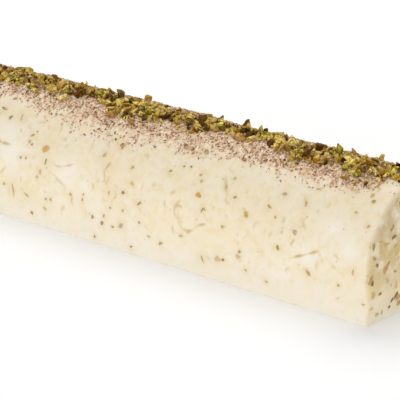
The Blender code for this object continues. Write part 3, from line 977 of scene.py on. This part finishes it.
def add_bit(shape, rim, point, out, sideways, bit, draw):
    """Adds one ragged flat bit that stands a little out of the surface. Sideways is the direction of a turn of zero."""
    growth = END_BIT_GROWTH if abs(out.x) == 1 else BIT_GROWTH
    length, width, angle = bit[2] * growth, bit[3] * growth, math.radians(bit[4])
    long_way = sideways * math.cos(angle) + out.cross(sideways) * math.sin(angle)
    wide_way = out.cross(long_way)
    thick = min(BIT_THICKNESS, 0.6 * width) * MM
    count = BIT_RIM_POINTS
    crown = shape.verts.new(point + out * BIT_STANDS_OUT)
    rings = []
    spins = [2 * math.pi * (number + draw.uniform(-0.3, 0.3)) / count for number in range(count)]
    draws = [draw.uniform(0.3, 1.1) for _ in range(count)]
    reaches = [0.65 * here + 0.35 * draws[number - 1] for number, here in enumerate(draws)]
    # Each ring is its share of the width, its height over the skin and how much it is a rim.
    for share, height, rim_share in ((0.78, BIT_STANDS_OUT, 0.15), (1.0, 0, 1), (1.05, -thick, 1)):
        ring = []
        for spin, reach in zip(spins, reaches):
            flat = long_way * (math.cos(spin) * length) + wide_way * (math.sin(spin) * width)
            spot = point + flat * (0.5 * MM * reach * share) + out * (height + BIT_STANDS_OUT * draw.uniform(-0.4, 0.4))
            spot.z = max(spot.z, 0.2 * MM)
            vertex = shape.verts.new(spot)
            vertex[rim] = rim_share
            ring.append(vertex)
        rings.append(ring)
    faces = [shape.faces.new(rings[-1][::-1])]
    for number in range(count):
        after = (number + 1) % count
        faces.append(shape.faces.new((crown, rings[0][number], rings[0][after])))
        for inner, outer in zip(rings, rings[1:]):
            faces.append(shape.faces.new((inner[number], outer[number], outer[after], inner[after])))
    return faces


def make_bits(name, kinds):
    """One object that holds all bits of some kinds, with a tone for each."""
    draw = random.Random(f"{name} {BIT_SEED}")
    shape = bmesh.new()
    tone = shape.faces.layers.float.new("tone")
    rim = shape.verts.layers.float.new("rim")
    chosen = [bit for bit in skin_bits if bit[5] in kinds]
    points, outs = skin_places(np.array([bit[0] for bit in chosen]) * MM, np.array([bit[1] for bit in chosen]) * MM)
    placed = [(Vector(point), Vector(out), Vector((1, 0, 0)), bit) for point, out, bit in zip(points, outs, chosen)]
    for side in (-1, 1):
        for bit in (found for found in end_bits[side] if found[5] in kinds):
            flat = np.array([(side * LENGTH / 2, bit[0] * MM, bit[1] * MM)])
            point = Vector(flat[0]) - Vector((side * end_relief(flat, side)[0], 0, 0))
            placed.append((point, Vector((side, 0, 0)), Vector((0, side, 0)), bit))
    for point, out, sideways, bit in placed:
        bit_tone = (kinds.index(bit[5]) + draw.uniform(0.25, 0.75)) / len(kinds)
        for face in add_bit(shape, rim, point, out, sideways, bit, draw):
            face[tone] = bit_tone
    piece = finish_piece(shape, name)
    print(name, len(placed), "bits,", len(piece.data.polygons), "faces")
    return piece


bit_pieces = [make_bits(name, kinds) for name, kinds in BIT_PIECES.items()]

# %% [markdown]
# ## Finish of the bits
#
# The bits have soaked in cream, so they are soft in colour, a little wet and see-through at the rim.
# Each kind has its own stretch of a colour ramp, picked by the tone written on the bit. Fine noise
# mottles them with a film of cream, so that none is one flat colour.

# %% Bit materials
BIT_COLOURS = {
    "nut_skin_bits": ("#76623E", "#987E56", "#AC804A", "#C69A5C", "#A89080", "#C2AE9C", "#603600", "#784806"),
    "pistachio_bits": ("#A88E3E", "#C2AA56", "#CAB46A", "#968C3C", "#848234", "#A29A4A"),
    "candied_fruit_bits": ("#D0AE7A", "#DCBC8A", "#D8AE74", "#D09C50", "#CC9244", "#DAAC62"),
}


def soaked_bit(name):
    """Nut or fruit soaked in cream: soft colour, slightly wet."""
    material, tree, shader = new_material(name)
    place = add_node(tree, "TexCoord")["Object"]
    tone = add_node(tree, "Attribute", attribute_name="tone")["Fac"]
    colour = add_node(tree, "ValToRGB", {"Fac": tone}, even_stops(BIT_COLOURS[name]))["Color"]
    mottle = add_node(tree, "TexNoise", {"Vector": place, "Scale": 1 / (0.9 * MM), "Detail": 2.0})["Fac"]
    filmed = add_node(tree, "MapRange", {"Value": mottle, "From Min": 0.42, "From Max": 0.76})["Result"]
    fill_sockets(tree, shader, {
        "Base Color": lay_over(tree, colour, [(filmed, 0.6, NUT_STAIN), ("rim", 1.0, NUT_STAIN)]),
        "Roughness": add_node(tree, "MapRange", {"Value": mottle, "To Min": 0.40, "To Max": 0.60})["Result"],
        "IOR": 1.40,
        "Specular IOR Level": 0.25,
        "Subsurface Weight": 0.2,
        "Subsurface Radius": (1.0, 0.7, 0.4),
        "Subsurface Scale": 1.2 * MM,
    })
    return material


for piece in bit_pieces:
    piece.data.materials.append(soaked_bit(piece.name))
    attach(piece, "root")
print("finished:", [piece.name for piece in bit_pieces])

# %% [markdown]
# ## Chopped pistachio
#
# A pistachio kernel is yellow-green inside, under a thin purple-brown skin. Chopped, most faces of a
# chip are cut and a few still carry skin. The strip on the ridge is one to two chips thick. The largest
# chips repeat the frame's own places, by the same rule and seed. Smaller ones are dropped into the gaps
# between them, where each comes to rest as low as the chips around it or the uneven skin allow.

# %% Places of the chips that the frame holds
STRIP_END_GAP = 3.0 * MM
PIECES = 340
LARGEST = 5.0 * MM
SMALLEST = 2.6 * MM
CROWDING = 0.75
BARE_LENGTH = 8 * MM
BARE_BELOW = -0.22
STANDING = 0.25
TRIES = 400
NUT_SEED = 41
# Chips that stand out: place along the log, place round the skin from the ridge, size, lift, and kind of chip.
PROMINENT = (
    (-0.1152, 0.0055, 0.0044, 0.06, "yellow"), (-0.1128, -0.0068, 0.0041, 0.15, "yellow"),
    (-0.1058, 0.0035, 0.0044, 0.20, "yellow"), (-0.0988, -0.0085, 0.0035, 0.15, "yellow"),
    (-0.0892, 0.0060, 0.0036, 0.10, "yellow"), (-0.0868, -0.0065, 0.0056, 0.12, "pale"),
    (-0.0755, -0.0030, 0.0056, 0.15, "roasted"), (-0.0690, 0.0085, 0.0034, 0.02, "yellow"),
    (-0.0660, 0.0015, 0.0046, 0.20, "yellow"), (-0.0638, -0.0132, 0.0039, 0.05, "pale"),
    (-0.0588, -0.0072, 0.0056, 0.10, "skin"), (-0.0482, 0.0050, 0.0039, 0.24, "green"),
    (-0.0482, 0.0125, 0.0040, 0.16, "green"), (-0.0408, -0.0080, 0.0039, 0.10, "pale"),
    (-0.0328, -0.0058, 0.0041, 0.15, "yellow"), (-0.0290, -0.0165, 0.0044, 0.05, "roasted"),
    (-0.0290, 0.0052, 0.0032, 0.05, "skin"), (-0.0285, 0.0110, 0.0036, 0.32, "yellow"),
    (-0.0132, -0.0182, 0.0039, 0.05, "roasted"), (-0.0102, -0.0075, 0.0048, 0.12, "green"),
    (0.0140, -0.0038, 0.0044, 0.20, "yellow"), (0.0195, -0.0022, 0.0051, 0.20, "skin"),
    (0.0215, -0.0085, 0.0039, 0.10, "pale"), (0.0295, -0.0065, 0.0041, 0.12, "yellow"),
    (0.0370, 0.0120, 0.0042, 0.14, "skin"), (0.0445, 0.0010, 0.0046, 0.20, "yellow"),
    (0.0478, 0.0118, 0.0030, -0.10, "skin"), (0.0492, -0.0098, 0.0054, 0.05, "roasted"),
    (0.0508, 0.0035, 0.0048, 0.20, "yellow"), (0.0520, -0.0045, 0.0054, 0.15, "skin"),
    (0.0568, 0.0102, 0.0022, -0.12, "green"), (0.0700, -0.0048, 0.0056, 0.12, "yellow"),
    (0.0768, -0.0022, 0.0049, 0.15, "pale"), (0.0878, -0.0082, 0.0054, 0.12, "skin"),
    (0.0888, 0.0022, 0.0051, 0.22, "skin"), (0.0970, -0.0118, 0.0035, 0.10, "yellow"),
    (0.1012, 0.0020, 0.0048, 0.32, "green"), (0.1130, -0.0032, 0.0056, 0.15, "yellow"),
    (0.1168, 0.0125, 0.0030, 0.42, "pale"), (0.1190, -0.0178, 0.0037, 0.05, "roasted"),
    (0.1275, -0.0062, 0.0035, 0.10, "pale"), (0.1340, -0.0130, 0.0037, 0.05, "pale"),
    (0.1365, -0.0035, 0.0041, 0.15, "yellow"),
)


def is_bare(along, around):
    """Whether the strip has a gap here that no chip fell into."""
    return noise.noise(Vector((along, around, 0)) / BARE_LENGTH) < BARE_BELOW


def spread_pieces(draw):
    """Places for the pieces, the largest first: each is drawn anew until it lies clear enough of those before it."""
    places = [row[:4] for row in PROMINENT]
    for number in range(PIECES - len(PROMINENT)):
        size = LARGEST + (SMALLEST - LARGEST) * (number / PIECES) ** 0.6
        for _ in range(TRIES):
            along = draw.uniform(-1, 1) * (LENGTH / 2 - STRIP_END_GAP)
            front = strip_edge(along, -1)
            around = front + (strip_edge(along, 1) - front) * draw.random()
            lift = draw.uniform(-0.17, 0.08)
            if not is_bare(along, around) and all(
                math.hypot(along - other[0], around - other[1]) > CROWDING * (size + other[2]) / 2
                for other in places
            ):
                places.append((along, around, size, lift))
                break
    return places


def random_turn(draw):
    """Any way round."""
    return Euler([draw.uniform(-math.pi, math.pi) for _ in range(3)])


def piece_turn(draw, out, lift):
    """A chip lies any way round, but one that stands up has its long side along the direction out of the skin."""
    turn = random_turn(draw)
    if lift < STANDING:
        return turn.to_matrix()
    return out.to_track_quat("X", "Z").to_matrix() @ Matrix.Rotation(turn.x, 3, "X")


def placed_chip(along, around, size, corners, turn, place, seen=False):
    """A chip: its corners are turned and moved to their place."""
    points = [turn @ corner + place for corner in corners]
    return {"along": along, "round": around, "size": size, "seen": seen, "points": points}


def frame_chips():
    """Each chip that the frame holds."""
    draw = random.Random(NUT_SEED)
    chips = []
    for number, (along, around, size, lift) in enumerate(spread_pieces(draw)):
        corners = chip_corners(draw, size)
        point, out = skin_point(along, around)
        turn = piece_turn(draw, out, lift)
        seen = number < len(PROMINENT)
        chips.append(placed_chip(along, around, size, corners, turn, point + out * size * lift, seen))
    return chips


chips = frame_chips()
print(len(chips), "chips in the frame")

# %% Small chips in the gaps
SMALL_PIECES = 340
SMALL_LARGEST = 2.5 * MM
SMALL_SMALLEST = 1.0 * MM
PILE_CELL = 0.8 * MM
HIGHEST_REST = 0.8 * MM
# How far a chip sinks between those under it, how high it stands on bare skin, and how much it adds to the pile.
CREVICE = 0.3 * MM
STANDS_ON_SKIN = 0.20
PILE_GROWTH = 0.35
SMALL_TRIES = 6
SMALL_SEED = 77


def pile_cells(along, around, size):
    """The cells of the height field that a chip of this size covers."""
    reach = max(1, round(size * 0.38 / PILE_CELL))
    i, j = round(along / PILE_CELL), round(around / PILE_CELL)
    return [(i + a, j + b) for a in range(-reach, reach + 1) for b in range(-reach, reach + 1)]


def ground_height(along, around):
    """How high the uneven skin is over the smooth one here: below zero, as all relief is sunk."""
    return -float(sunk(smooth_skin(along, around)[0][None], 0)[0]) - LUMP_DEPTH


def settle_small_chips(chips):
    """Adds smaller chips, each at the lowest of a few places that it tries."""
    draw = random.Random(SMALL_SEED)
    pile = {}
    for chip in chips:
        point, out = skin_point(chip["along"], chip["round"])
        top = max((corner - point).dot(out) for corner in chip["points"])
        for cell in pile_cells(chip["along"], chip["round"], chip["size"]):
            pile[cell] = max(pile.get(cell, 0), top)
    for number in range(SMALL_PIECES):
        size = SMALL_LARGEST + (SMALL_SMALLEST - SMALL_LARGEST) * (number / SMALL_PIECES) ** 0.7
        rest, along, around, low = math.inf, 0, 0, 0
        for _ in range(SMALL_TRIES):
            x = draw.uniform(-1, 1) * (LENGTH / 2 - STRIP_END_GAP)
            s = strip_edge(x, draw.choice((-1, -1, 1))) * min(1.25, 0.7 * abs(draw.gauss(0, 1)))
            ground = ground_height(x, s)
            heights = sorted(pile.get(cell, ground) for cell in pile_cells(x, s, size))
            if heights[len(heights) // 2] < rest:
                rest, along, around, low = heights[len(heights) // 2], x, s, ground
        rest = min(rest, HIGHEST_REST)
        point, out = skin_point(along, around)
        turn = random_turn(draw).to_matrix()
        place = point + out * max(rest - CREVICE + size * 0.10, low + size * STANDS_ON_SKIN)
        chips.append(placed_chip(along, around, size, chip_corners(draw, size), turn, place))
        for cell in pile_cells(along, around, size):
            pile[cell] = max(pile.get(cell, 0), rest + size * PILE_GROWTH)


settle_small_chips(chips)
print(len(chips), "chips, the highest point", round(max(p.z for chip in chips for p in chip["points"]) / MM, 1), "mm")

# %% One mesh for each kind of chip
# Each kind is its piece's name and its share of the chips.
KINDS = {
    "yellow": ("pistachio_yellow", 0.50), "pale": ("pistachio_pale", 0.17), "green": ("pistachio_green", 0.12),
    "skin": ("pistachio_skin", 0.17), "roasted": ("roasted_nut", 0.04),
}
KIND_SEED = 12
SKIN_CHANCE = 0.30
# How much darker the faces of a chip that look down are: painted shade.
DOWNWARD_SHADE = 0.5
TONE_SPREAD = 0.15
BREAK = 0.06
CRUMBLE = 0.045


def make_chips(name, chosen, draw):
    """One object that holds all chips of a kind, with a tone for each chip and skin on some faces."""
    shape = bmesh.new()
    tone = shape.faces.layers.float.new("tone")
    skin = shape.faces.layers.float.new("skin")
    for chip in chosen:
        chip_tone = draw.random() ** 0.55
        skin_side = Vector([draw.gauss(0, 1) for _ in range(3)]).normalized()
        has_skin = draw.random() < SKIN_CHANCE and not chip["seen"]
        for face in add_chip(shape, chip["points"], chip["size"] * BREAK, chip["size"] * CRUMBLE):
            # Faces that look down are darker: painted shade under each chip.
            painted_shade = DOWNWARD_SHADE * min(1, max(0, 0.4 - face.normal.z))
            face[tone] = min(1, max(0, chip_tone - painted_shade + draw.uniform(-TONE_SPREAD, TONE_SPREAD)))
            face[skin] = float(has_skin and face.normal.dot(skin_side) > 0.5)
    piece = finish_piece(shape, name)
    print(name, len(chosen), "chips,", len(piece.data.polygons), "triangles")
    return piece


kind_draw = random.Random(KIND_SEED)
shares = [share for _, share in KINDS.values()]
chip_kinds = [row[4] for row in PROMINENT] + [
    kind_draw.choices(list(KINDS), shares)[0] for _ in range(len(chips) - len(PROMINENT))
]
chip_pieces = [
    make_chips(name, [chip for chip, found in zip(chips, chip_kinds) if found == kind], kind_draw)
    for kind, (name, _) in KINDS.items()
]

# %% [markdown]
# ## Pistachio and nut finishes
#
# Cut kernel is waxy: a little light gets in, and the oil gives it a soft shine. Each chip has a tone of
# its own, darker on the faces that look down, as painted shade. Noise mottles the cut faces, and skin is
# browner and duller. All kinds share one recipe with their own colours.

# %% Nut materials
# Each kind's dark and light tone, then its mottle and its skin.
NUT_COLOURS = {
    "pistachio_yellow": ("#966A02", "#FFE984", "#986C02", "#6A4000"),
    "pistachio_pale": ("#C49E44", "#F8E59C", "#AC8634", "#845620"),
    "pistachio_green": ("#524800", "#CCBA44", "#665800", "#4A3200"),
    "pistachio_skin": ("#3E2400", "#82581E", "#4C2E00", "#2C1800"),
    "roasted_nut": ("#96682C", "#D8AE66", "#9C6E36", "#623E18"),
}
MOTTLE_LENGTH = 1.3 * MM
GRAIN_LENGTH = 0.6 * MM


def chopped_nut(name):
    """Waxy cut kernel, mottled, with dull skin on the faces marked for it."""
    material, tree, shader = new_material(name)
    *tones, mottle, husk = NUT_COLOURS[name]
    place = add_node(tree, "TexCoord")["Object"]
    tone, skin = [add_node(tree, "Attribute", attribute_name=mark)["Fac"] for mark in ("tone", "skin")]
    colour = add_node(tree, "ValToRGB", {"Fac": tone}, even_stops(tones))["Color"]
    spotty = add_node(tree, "TexNoise", {"Vector": place, "Scale": 1 / MOTTLE_LENGTH, "Detail": 3.0})["Fac"]
    fine = add_node(tree, "TexNoise", {"Vector": place, "Scale": 1 / GRAIN_LENGTH, "Detail": 2.0})["Fac"]
    mottled = add_node(tree, "MapRange", {"Value": spotty, "From Min": 0.45, "From Max": 0.62})["Result"]
    flaked = add_node(tree, "MapRange", {"Value": spotty, "From Min": 0.35, "From Max": 0.45})["Result"]
    fill_sockets(tree, shader, {
        "Base Color": lay_over(tree, colour, [(mottled, 1.0, linear(mottle)), (skin, flaked, linear(husk))]),
        "Normal": add_node(tree, "Bump", {"Height": fine, "Strength": 0.6, "Distance": 0.15 * MM})["Normal"],
        "Roughness": add_node(tree, "MapRange", {"Value": fine, "To Min": 0.50, "To Max": 0.72})["Result"],
        "IOR": 1.47,
        "Specular IOR Level": 0.12,
        "Subsurface Weight": 0.12,
        "Subsurface Radius": (1.0, 0.8, 0.3),
        "Subsurface Scale": 1.0 * MM,
    })
    return material


for piece in chip_pieces:
    piece.data.materials.append(chopped_nut(piece.name))
    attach(piece, "root")
    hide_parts("iced_nougat")
print("finished:", [piece.name for piece in chip_pieces])

# %% [markdown]
# ## Loose crumbs
#
# The crumbs are ground cocoa nib and praline, one to two millimetres long, and finer pistachio. Each is
# a tiny octahedron with pulled corners, which is all that such a size can show. They are scattered by
# trying random places and keeping one as often as the dusting is thick there. Arrays hold all corners
# of all crumbs at once, which is far faster than one object for each.

# %% Scattered crumbs
OCTAHEDRON = np.array([(1, 0, 0), (-1, 0, 0), (0, 1, 0), (0, -1, 0), (0, 0, 1), (0, 0, -1)], dtype=float)
OCTAHEDRON_FACES = np.array([
    (0, 2, 4), (2, 1, 4), (1, 3, 4), (3, 0, 4), (2, 0, 5), (1, 2, 5), (3, 1, 5), (0, 3, 5),
])
# Length, width and thickness of a crumb, as shares of its length, and how high it lies.
CRUMB_SHAPE = np.array([1, 0.55, 0.40])
CRUMB_RISE = 0.3
CRUMB_TILT = 0.35
CRUMB_SEED = 31
CRUMB_REACH = 42 * MM
CRUMB_END_GAP = 1.5 * MM
# Each piece is its count, its smallest and largest length, and the chance of a crumb at a place.
CRUMBS = {
    "cocoa_crumbs": (7000, 0.9 * MM, 2.4 * MM, lambda x, s: dusting(x, s) * (0.95 - 0.3 * strip_share(x, s)) + 0.0008),
    "praline_crumbs": (7600, 0.9 * MM, 2.2 * MM, lambda x, s: dusting(x, s) * (0.95 - 0.75 * strip_share(x, s))),
    "pistachio_crumbs": (2200, 0.7 * MM, 1.7 * MM, lambda x, s: strip_share(x, s) + 0.005),
}


def crumb_places(draw, count, chance):
    """Random places on the skin, kept as often as chance(along, around) says."""
    places = []
    while len(places) < count:
        along = draw.uniform(-1, 1) * (LENGTH / 2 - CRUMB_END_GAP)
        around = draw.uniform(-1, 1) * CRUMB_REACH
        if draw.random() < chance(along, around):
            places.append((along, around))
    return np.array(places)


def make_crumbs(name, places, smallest, largest, seed):
    """One object that holds a flat crumb at each place, lying on the skin, with a tone for each."""
    draw = np.random.default_rng(seed)
    count = len(places)
    points, outs = skin_places(places[:, 0], places[:, 1])
    half_length = 0.5 * (smallest + (largest - smallest) * draw.random((count, 1, 1)) ** 2)
    corners = OCTAHEDRON[None] * draw.uniform(0.6, 1.1, (count, 6, 1)) + draw.uniform(-0.25, 0.25, (count, 6, 3))
    corners *= half_length * CRUMB_SHAPE
    heading = draw.uniform(0, 2 * math.pi, (count, 1))
    round_way = np.cross(outs, (1.0, 0.0, 0.0))
    long_way = np.cos(heading) * np.array([1.0, 0, 0]) + np.sin(heading) * round_way
    long_way = long_way + CRUMB_TILT * draw.normal(size=(count, 3))
    long_way /= np.linalg.norm(long_way, axis=1, keepdims=True)
    wide_way = np.cross(outs, long_way)
    thick_way = np.cross(long_way, wide_way)
    turned = np.einsum("nki,nij->nkj", corners, np.stack([long_way, wide_way, thick_way], axis=1))
    centre = points + outs * (half_length[:, 0] * CRUMB_RISE)
    faces = OCTAHEDRON_FACES[None] + 6 * np.arange(count)[:, None, None]
    mesh = bpy.data.meshes.new(name)
    mesh.from_pydata((turned + centre[:, None]).reshape(-1, 3).tolist(), [], faces.reshape(-1, 3).tolist())
    tones = np.repeat(draw.random(count), len(OCTAHEDRON_FACES)).astype(np.float32)
    mesh.attributes.new("tone", "FLOAT", "FACE").data.foreach_set("value", tones)
    print(name, count, "crumbs,", len(mesh.polygons), "triangles")
    return add_object(name, mesh)


crumb_draw = random.Random(CRUMB_SEED)
crumb_pieces = [
    make_crumbs(name, crumb_places(crumb_draw, count, chance), smallest, largest, CRUMB_SEED + number)
    for number, (name, (count, smallest, largest, chance)) in enumerate(CRUMBS.items())
]

# %% Crumb materials
CRUMB_COLOURS = {
    "cocoa_crumbs": ("#845630", "#B08258", "#D4AE84"),
    "praline_crumbs": ("#E6C09A", "#F2D2AE", "#F8E2C4"),
    "pistachio_crumbs": ("#7A5E1C", "#B4983C", "#D8C27A"),
}


def ground_crumb(name):
    """Dry matt crumb, a tone for each, a little darker in small random spots."""
    material, tree, shader = new_material(name)
    place = add_node(tree, "TexCoord")["Object"]
    tone = add_node(tree, "Attribute", attribute_name="tone")["Fac"]
    colour = add_node(tree, "ValToRGB", {"Fac": tone}, even_stops(CRUMB_COLOURS[name]))["Color"]
    rough = add_node(tree, "TexNoise", {"Vector": place, "Scale": 1 / (0.5 * MM), "Detail": 2.0})["Fac"]
    dark_spots = add_node(tree, "MapRange", {"Value": rough, "From Min": 0.3, "From Max": 0.7})["Result"]
    fill_sockets(tree, shader, {
        "Base Color": lay_over(tree, colour, [(dark_spots, 0.3, linear(CRUMB_COLOURS[name][0]))]),
        "Roughness": 0.8,
        "IOR": 1.45,
        "Specular IOR Level": 0.2,
    })
    return material


for piece in crumb_pieces:
    piece.data.materials.append(ground_crumb(piece.name))
    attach(piece, "root")
print("finished:", [piece.name for piece in crumb_pieces])

# %% [markdown]
# ## Floor and light
#
# The floor is a white sheet that glows a little, so that only a pale soft shadow is left on it. One
# strong lamp could light the log, but three broad soft ones give the even light of a studio: one from
# behind and above, which casts that shadow and rims the nuts, one from the front on the left, and one
# from the right, so that the end is a shade darker than the front.

# %% Floor, sky and lamps
FLOOR_SIDE = 12.0
FLOOR_GAP = 0.05 * MM
FLOOR_GLOW = 0.17
FLOOR_WHITE = (0.9, 0.9, 0.9, 1)
SKY_HORIZON = 0.95
SKY_TOP = 0.30
SKY_FADE = 0.30
SOFTNESS = math.radians(50)
# Each lamp is the direction that its light comes from, and its strength.
LAMPS = {
    "back_lamp": ((-0.5, 0.6, 1.0), 1.60),
    "front_lamp": ((-0.5, -0.9, 0.2), 1.05),
    "right_lamp": ((1.0, -0.6, 0.6), 0.90),
}

shape = bmesh.new()
bmesh.ops.create_grid(shape, x_segments=4, y_segments=4, size=FLOOR_SIDE / 2)
floor = finish_piece(shape, "floor")
floor.location.z = -FLOOR_GAP
material, tree, shader = new_material("white_light_table")
fill_sockets(tree, shader, {
    "Base Color": FLOOR_WHITE, "Roughness": 0.9, "Emission Color": (1, 1, 1, 1), "Emission Strength": FLOOR_GLOW,
})
floor.data.materials.append(material)

world = bpy.data.worlds.new("sky")
world.use_nodes = True
tree = world.node_tree
height = add_node(tree, "SeparateXYZ", {"Vector": add_node(tree, "TexCoord")["Generated"]})["Z"]
grey = add_node(tree, "MapRange", {"Value": height, "From Max": SKY_FADE, "To Min": SKY_HORIZON, "To Max": SKY_TOP})
fill_sockets(tree, tree.nodes["Background"], {"Color": grey["Result"]})
bpy.context.scene.world = world

for name, (direction, strength) in LAMPS.items():
    light = bpy.data.lights.new(name, "SUN")
    light.angle = SOFTNESS
    light.energy = strength
    add_object(name, light).rotation_euler = Vector(direction).to_track_quat("Z", "Y").to_euler()
bpy.context.scene.view_settings.view_transform = "Standard"
print("floor, sky and", len(LAMPS), "lamps are in place")
